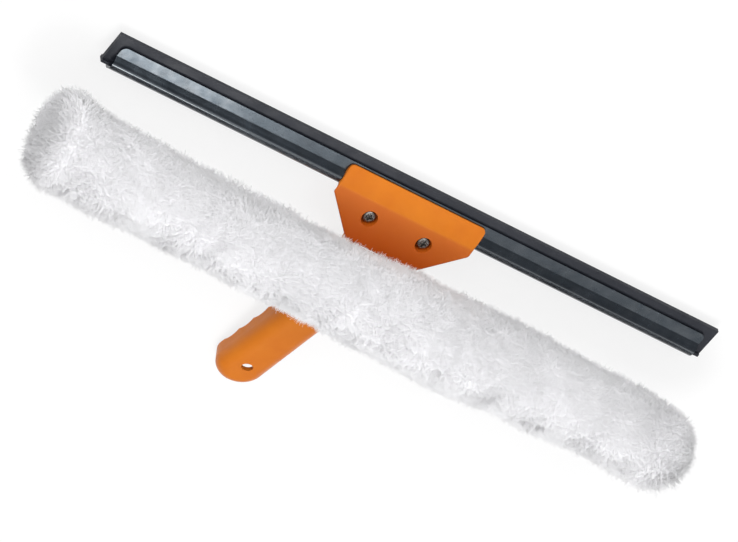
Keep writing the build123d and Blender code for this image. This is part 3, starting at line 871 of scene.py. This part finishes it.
def pile_tree():
    """Geometry Nodes that grow leaning, curling strands in locks on a backing."""
    sizes = (
        "Strands", "Locks", "Pile length", "Strand radius", "Rise", "Lean", "Stray", "Curl",
        "Lock pull",
    )
    tree = GrowthTree("Plush pile", {**dict.fromkeys(sizes, "Float"), "Seed": "Int"})
    given = tree.given
    place = tree.out("GeometryNodeInputPosition", "Position")

    # Roots of the strands and middles of the locks, scattered on the backing
    roots = tree.add(
        "GeometryNodeDistributePointsOnFaces",
        {"Mesh": given["Geometry"], "Density": given["Strands"], "Seed": given["Seed"]},
    ).outputs
    locks = tree.out(
        "GeometryNodeDistributePointsOnFaces", "Points",
        {"Mesh": given["Geometry"], "Density": given["Locks"], "Seed": tree.seeded(offset=1)},
    )
    allowed = tree.math("MULTIPLY", given["Pile length"], tree.named("pile", "FLOAT"))
    growth_share = tree.random(STRAND_SHORTEST, STRAND_LONGEST, offset=2)
    reach = tree.math("MULTIPLY", allowed, growth_share)
    tone = tree.random(0.0, 1.0, offset=3)
    stray = tree.scaled(tree.random_vector(offset=4), given["Stray"])
    points = tree.stored(roots["Points"], "root", place, "FLOAT_VECTOR")
    points = tree.stored(points, "growth", roots["Normal"], "FLOAT_VECTOR")
    points = tree.stored(points, "reach", reach, "FLOAT")
    points = tree.stored(points, "tone", tone, "FLOAT")
    points = tree.stored(points, "stray", stray, "FLOAT_VECTOR")

    # One line of a few points on each root
    line = tree.out("GeometryNodeCurvePrimitiveLine", "Curve")
    straight = tree.out(
        "GeometryNodeResampleCurve", "Curve", {"Curve": line, "Count": STRAND_POINTS}
    )
    copies = tree.out(
        "GeometryNodeInstanceOnPoints", "Instances", {"Points": points, "Instance": straight}
    )
    strands = tree.out("GeometryNodeRealizeInstances", "Geometry", {"Geometry": copies})

    # The way that a strand heads, between standing up and lying with its neighbours
    along = tree.out("GeometryNodeSplineParameter", "Factor")
    root, growth = tree.named("root", "FLOAT_VECTOR"), tree.named("growth", "FLOAT_VECTOR")
    leaning = tree.drift(root, LIE_SCALE, given["Lean"])
    lie = tree.vector("ADD", leaning, tree.named("stray", "FLOAT_VECTOR"))
    lying = tree.vector("SUBTRACT", lie, tree.vector("PROJECT", lie, growth))
    standing = tree.scaled(growth, given["Rise"])
    heading = tree.vector("NORMALIZE", tree.vector("ADD", standing, lying))

    # Its points: out along that way, curled, and drawn in to the middle of the lock
    run = tree.math("MULTIPLY", tree.named("reach", "FLOAT"), along)
    bend = tree.math("MULTIPLY", run, along)
    nearest = tree.out(
        "GeometryNodeSampleNearest", "Index", {"Geometry": locks, "Sample Position": root}
    )
    lock = tree.out(
        "GeometryNodeSampleIndex", "Value", {"Geometry": locks, "Value": place, "Index": nearest},
        data_type="FLOAT_VECTOR", domain="POINT",
    )
    draw = tree.math("MULTIPLY", tree.math("POWER", along, LOCK_POWER), given["Lock pull"])
    own_curl = tree.drift(root, CURL_SCALE, given["Curl"])
    lock_curl = tree.drift(lock, LOCK_SCALE, given["Curl"])
    grown = tree.vector("ADD", root, tree.scaled(heading, run))
    grown = tree.vector("ADD", grown, tree.scaled(own_curl, bend))
    grown = tree.vector("ADD", grown, tree.scaled(lock_curl, bend))
    grown = tree.vector("ADD", grown, tree.scaled(tree.vector("SUBTRACT", lock, root), draw))
    strands = tree.out(
        "GeometryNodeSetPosition", "Geometry", {"Geometry": strands, "Position": grown}
    )
    strands = tree.stored(strands, "tip", along, "FLOAT")

    # Tapered tubes along the strands, joined to the backing
    taper = tree.math("MULTIPLY_ADD", along, -STRAND_TAPER, 1.0)
    thickness = tree.math("MULTIPLY", taper, given["Strand radius"])
    section = tree.out(
        "GeometryNodeCurvePrimitiveCircle", "Curve", {"Resolution": STRAND_SIDES, "Radius": 1.0}
    )
    pile = tree.out(
        "GeometryNodeCurveToMesh", "Mesh",
        {"Curve": strands, "Profile Curve": section, "Scale": thickness},
    )
    joined = tree.add("GeometryNodeJoinGeometry")
    tree.feed(joined.inputs[0], given["Geometry"])
    tree.feed(joined.inputs[0], pile)
    return tree.finish(joined.outputs[0])


def baked(source, group, values, name):
    """The plain mesh piece that a Geometry Nodes tree makes on a source object."""
    modifier = source.modifiers.new(group.name, "NODES")
    modifier.node_group = group
    for item in group.interface.items_tree:
        if item.in_out == "INPUT" and item.name in values:
            modifier[item.identifier] = values[item.name]
    shaped = source.evaluated_get(bpy.context.evaluated_depsgraph_get())
    mesh = bpy.data.meshes.new_from_object(shaped)
    mesh.name = name
    bpy.data.objects.remove(source)
    return placed(name, mesh)


def settle(sleeve):
    """Lays down the strands that would stand in the neck or the lifted clamp plate."""
    mesh = sleeve.data
    points = np.zeros(len(mesh.vertices) * 3, np.float32)
    mesh.vertices.foreach_get("co", points)
    laid = pressed(points.reshape(-1, 3).astype(float), PILE_GAP)
    mesh.vertices.foreach_set("co", laid.astype(np.float32).ravel())
    mesh.update()


def soften(sleeve, softness):
    """Shades the strands nearly as one soft surface, by leaning their normals to the backing's."""
    mesh = sleeve.data
    count = len(mesh.vertices)
    own, growth = np.zeros(count * 3, np.float32), np.zeros(count * 3, np.float32)
    mesh.vertex_normals.foreach_get("vector", own)
    mesh.attributes["growth"].data.foreach_get("vector", growth)
    soft = own.reshape(-1, 3) + softness * growth.reshape(-1, 3)
    soft /= np.maximum(np.linalg.norm(soft, axis=1), TINY)[:, None]
    mesh.normals_split_custom_set_from_vertices(soft.tolist())


def plush_finish(plush):
    """White pile with painted shade that darkens it towards the roots, and strands of differing
    tone.
    """
    material, tree, shader = new_finish(
        "white_plush", IOR=1.45, Sheen_Weight=0.4, Sheen_Roughness=0.5
    )
    tip = tree.out("ShaderNodeAttribute", "Fac", attribute_name="tip")
    tone = tree.out("ShaderNodeAttribute", "Fac", attribute_name="tone")
    # Painted shade: each strand darkens from its tip to its root
    lit = tree.mix(tip, plush.root, plush.tip)
    darker = tree.math("MULTIPLY", tone, TONE_SHARE)
    tree.feed(shader["Base Color"], tree.mix(darker, lit, plush.root))
    tree.feed(shader["Roughness"], clouds(tree, Scale=60.0, Low=0.8, High=0.95))
    return material


class WASHER_OT_plush_sleeve(bpy.types.Operator):
    """Plush sleeve: a lumpy backing grown over with white pile"""

    bl_idname = "washer.plush_sleeve"
    bl_label = "Plush sleeve"

    def execute(self, context):
        plush = context.scene.washer_plush
        values = {
            "Strands": plush.density * 1.0,
            "Locks": plush.locks,
            "Pile length": plush.pile,
            "Strand radius": plush.strand,
            "Rise": plush.rise,
            "Lean": plush.lean,
            "Stray": plush.stray,
            "Curl": plush.curl,
            "Lock pull": plush.pull,
            "Seed": plush.seed,
            "Material": plush_finish(plush),
        }
        sleeve = baked(plush_backing(plush), pile_tree(), values, "plush_sleeve")
        settle(sleeve)
        soften(sleeve, plush.softness)
        attributes = sleeve.data.attributes
        for name in ("root", "growth", "reach", "stray", "pile"):
            attributes.remove(attributes[name])
        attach(sleeve, "handle")
        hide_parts("washer_sleeve")
        return {"FINISHED"}


def strip_outline(low, high, corner):
    """Points of a strip's outline in plan, with round corners."""
    outline = []
    for turn, x, y in (
        (0.0, high.x, high.y), (0.5, low.x, high.y), (1.0, low.x, low.y), (1.5, high.x, low.y)
    ):
        middle_x = x - math.copysign(corner, x - (low.x + high.x) / 2)
        middle_y = y - math.copysign(corner, y - (low.y + high.y) / 2)
        for step in np.linspace(0.0, 0.5, CORNER_POINTS):
            way = math.pi * (turn + step)
            outline.append((middle_x + corner * math.cos(way), middle_y + corner * math.sin(way)))
    return outline


def tape_strip(name, low, high, material):
    """A woven tape strip with round corners and soft edges."""
    sheet = bmesh.new()
    edge = [sheet.verts.new((x, y, low.z)) for x, y in strip_outline(low, high, TAPE_CORNER)]
    under = sheet.faces.new(edge)
    raised = bmesh.ops.extrude_face_region(sheet, geom=[under])["geom"]
    for vertex in (item for item in raised if isinstance(item, bmesh.types.BMVert)):
        vertex.co.z = high.z
    bmesh.ops.recalc_face_normals(sheet, faces=sheet.faces)
    rims = [item for item in sheet.edges if abs(item.verts[0].co.z - item.verts[1].co.z) < TINY]
    bmesh.ops.bevel(sheet, geom=rims, offset=TAPE_SOFT_EDGE, segments=2, affect="EDGES")
    mesh = bpy.data.meshes.new(name)
    sheet.to_mesh(mesh)
    sheet.free()
    mesh.materials.append(material)
    return placed(name, mesh)


def stitch_tree():
    """Geometry Nodes that set stitches along a line of edges."""
    sizes = ("Pitch", "Half length", "Thread radius")
    tree = GrowthTree("Tape stitches", dict.fromkeys(sizes, "Float"))
    given = tree.given
    seam = tree.out("GeometryNodeMeshToCurve", "Curve", {"Mesh": given["Geometry"]})
    stops = tree.out(
        "GeometryNodeResampleCurve", "Curve", {"Curve": seam, "Length": given["Pitch"]},
        mode="LENGTH",
    )
    heading = tree.out(
        "FunctionNodeAlignRotationToVector", "Rotation",
        {"Vector": tree.out("GeometryNodeInputTangent", "Tangent")}, axis="X",
    )
    size = tree.out(
        "ShaderNodeCombineXYZ", "Vector",
        {"X": given["Half length"], "Y": given["Thread radius"], "Z": given["Thread radius"]},
    )
    thread = tree.out(
        "GeometryNodeMeshUVSphere", "Mesh",
        {"Segments": THREAD_SEGMENTS, "Rings": THREAD_RINGS, "Radius": 1.0},
    )
    sewn = tree.out(
        "GeometryNodeInstanceOnPoints", "Instances",
        {"Points": stops, "Instance": thread, "Rotation": heading, "Scale": size},
    )
    return tree.finish(sewn)


def tape_finish(finishes):
    """Woven touch tape: a fine cross weave with a napped tone."""
    material, tree, shader = new_finish(
        "tape_fabric", IOR=1.45, Sheen_Weight=0.2, Sheen_Roughness=0.5
    )
    nap = clouds(tree, Scale=300.0, Detail=3.0)
    tree.feed(shader["Base Color"], tree.mix(nap, finishes.tape, finishes.tape_nap))
    tree.feed(shader["Roughness"], clouds(tree, Scale=150.0, Low=0.7, High=0.9))
    place = tree.out("ShaderNodeTexCoord", "Object")

    def threads(scale, direction):
        """Ridges of the threads that follow each other in one direction."""
        return tree.out(
            "ShaderNodeTexWave", "Fac", {"Vector": place, "Scale": scale, "Distortion": 0.6},
            bands_direction=direction,
        )

    weave = tree.math("MULTIPLY", threads(WEFT_SCALE, "X"), threads(WARP_SCALE, "Y"))
    tree.feed(shader["Normal"], bump(tree, weave, strength=0.6, depth=0.15 * MM))
    return material


class WASHER_OT_tape(bpy.types.Operator):
    """Touch tape that closes the sleeve underneath, with its row of stitches"""

    bl_idname = "washer.tape"
    bl_label = "Touch tape"

    def execute(self, context):
        material = tape_finish(context.scene.washer_finishes)
        for name, node, low, high in (
            ("loop_tape", "loop_strip", loop_low, loop_high),
            ("hook_tape", "hook_strip", hook_low, hook_high),
        ):
            strip = tape_strip(name, low, high, material)
            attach(strip, "handle")
            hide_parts(node)
        inset = Vector((STITCH_INSET, STITCH_INSET, 0.0))
        line = strip_outline(hook_low + inset, hook_high - inset, TAPE_CORNER - STITCH_INSET)
        count = len(line)
        path = bpy.data.meshes.new("stitch_line")
        path.from_pydata(
            [(x, y, hook_low.z) for x, y in line], [(i, (i + 1) % count) for i in range(count)], []
        )
        values = {
            "Pitch": STITCH_PITCH,
            "Half length": STITCH_HALF_LENGTH,
            "Thread radius": THREAD_RADIUS,
            "Material": material,
        }
        stitches = baked(placed("stitch_line", path), stitch_tree(), values, "tape_stitches")
        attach(stitches, "handle")
        return {"FINISHED"}


def camera_turn(stage):
    """The camera's rotation."""
    return (
        Matrix.Rotation(stage.azimuth, 4, "Z")
        @ Matrix.Rotation(math.pi / 2 - stage.elevation, 4, "X")
        @ Matrix.Rotation(stage.roll, 4, "Z")
    )


def seen_or_lit(tree, seen, lit):
    """One shader for what the camera and mirrors see, another for what lights the object."""
    path = tree.add("ShaderNodeLightPath").outputs
    shown = tree.math("MAXIMUM", path["Is Camera Ray"], path["Is Glossy Ray"])
    shown = tree.math("MAXIMUM", shown, path["Is Transmission Ray"])
    return tree.mix_shaders(shown, lit, seen)


class WASHER_OT_stage(bpy.types.Operator):
    """Pale floor, studio light and the camera"""

    bl_idname = "washer.stage"
    bl_label = "Stage"

    def execute(self, context):
        scene = context.scene
        stage = scene.washer_stage
        scene.view_settings.view_transform = "Standard"
        self.add_floor(stage)
        self.add_world(scene, stage)
        for name in SOFTBOXES:
            self.add_softbox(stage, name)
        self.add_camera(scene, stage)
        return {"FINISHED"}

    def add_floor(self, stage):
        """Pale floor that keeps a faint shadow where it is seen."""
        mesh = bpy.data.meshes.new("studio_floor")
        corners = ((-1, -1), (1, -1), (1, 1), (-1, 1))
        mesh.from_pydata(
            [(x * FLOOR_HALF, y * FLOOR_HALF, -FLOOR_DROP) for x, y in corners], [], [(0, 1, 2, 3)]
        )
        material = bpy.data.materials.new("studio_floor")
        material.use_nodes = True
        tree = Tree(material.node_tree)
        tree.tree.nodes.clear()
        matt = tree.out("ShaderNodeBsdfDiffuse", "BSDF", {"Color": opaque(stage.floor)})
        glow = tree.out("ShaderNodeEmission", "Emission", {"Color": WHITE, "Strength": 1.0})
        veiled = tree.mix_shaders(stage.floor_veil, matt, glow)
        tree.add("ShaderNodeOutputMaterial", {"Surface": seen_or_lit(tree, veiled, matt)})
        mesh.materials.append(material)
        placed("studio_floor", mesh)

    def add_world(self, scene, stage):
        """Even studio light from all round, a little weaker from overhead."""
        world = bpy.data.worlds.new("studio")
        world.use_nodes = True
        scene.world = world
        tree = Tree(world.node_tree)
        tree.tree.nodes.clear()
        heading = tree.out("ShaderNodeTexCoord", "Generated")
        height = tree.out("ShaderNodeSeparateXYZ", "Z", {"Vector": heading})
        strength = tree.spread(height, (0.0, 1.0), stage.horizon, stage.zenith)
        even = tree.out(
            "ShaderNodeBackground", "Background", {"Color": WHITE, "Strength": strength}
        )
        tree.add("ShaderNodeOutputWorld", {"Surface": even})

    def add_softbox(self, stage, name):
        """One of the softboxes, turned to the middle of the object's foot."""
        light = bpy.data.lights.new(name + "_softbox", "AREA")
        light.shape = "RECTANGLE"
        light.size, light.size_y = getattr(stage, name + "_size")
        light.energy = getattr(stage, name + "_power")
        middle = Vector(getattr(stage, name + "_place"))
        softbox = placed(light.name, light)
        softbox.location = middle
        softbox.rotation_euler = (-middle).to_track_quat("-Z", "Y").to_euler()

    def add_camera(self, scene, stage):
        """Long lens at the photograph's viewing angle."""
        lens = bpy.data.cameras.new("photo_camera")
        lens.lens = stage.lens
        lens.sensor_fit = "HORIZONTAL"
        lens.sensor_width = 36.0
        lens.clip_end = 20.0
        turn = camera_turn(stage)
        back = turn.to_3x3() @ Vector((0.0, 0.0, stage.distance))
        camera = placed("photo_camera", lens)
        camera.matrix_world = Matrix.Translation(Vector(stage.aim) + back) @ turn
        scene.camera = camera


STEPS = (
    WASHER_OT_moulded_plastic,
    WASHER_OT_channel,
    WASHER_OT_rubber,
    WASHER_OT_screws,
    WASHER_OT_bar,
    WASHER_OT_plush_sleeve,
    WASHER_OT_tape,
    WASHER_OT_stage,
)


class WASHER_PT_sidebar(bpy.types.Panel):
    """Steps that dress the window washer"""

    bl_idname = "WASHER_PT_sidebar"
    bl_label = "Window Washer"
    bl_space_type = "VIEW_3D"
    bl_region_type = "UI"
    bl_category = "Washer"

    def draw(self, context):
        for step in STEPS:
            self.layout.operator(step.bl_idname)


SETTINGS = {
    "washer_finishes": WasherFinishes,
    "washer_plush": WasherPlush,
    "washer_stage": WasherStage,
}
CLASSES = (*SETTINGS.values(), *STEPS, WASHER_PT_sidebar)


def register():
    for item in CLASSES:
        bpy.utils.register_class(item)
    for name, settings in SETTINGS.items():
        setattr(bpy.types.Scene, name, bpy.props.PointerProperty(type=settings))


def unregister():
    for name in SETTINGS:
        delattr(bpy.types.Scene, name)
    for item in reversed(CLASSES):
        bpy.utils.unregister_class(item)


def main():
    register()
    for step in STEPS:
        group, name = step.bl_idname.split(".")
        getattr(getattr(bpy.ops, group), name)()


if __name__ == "__main__":
    main()
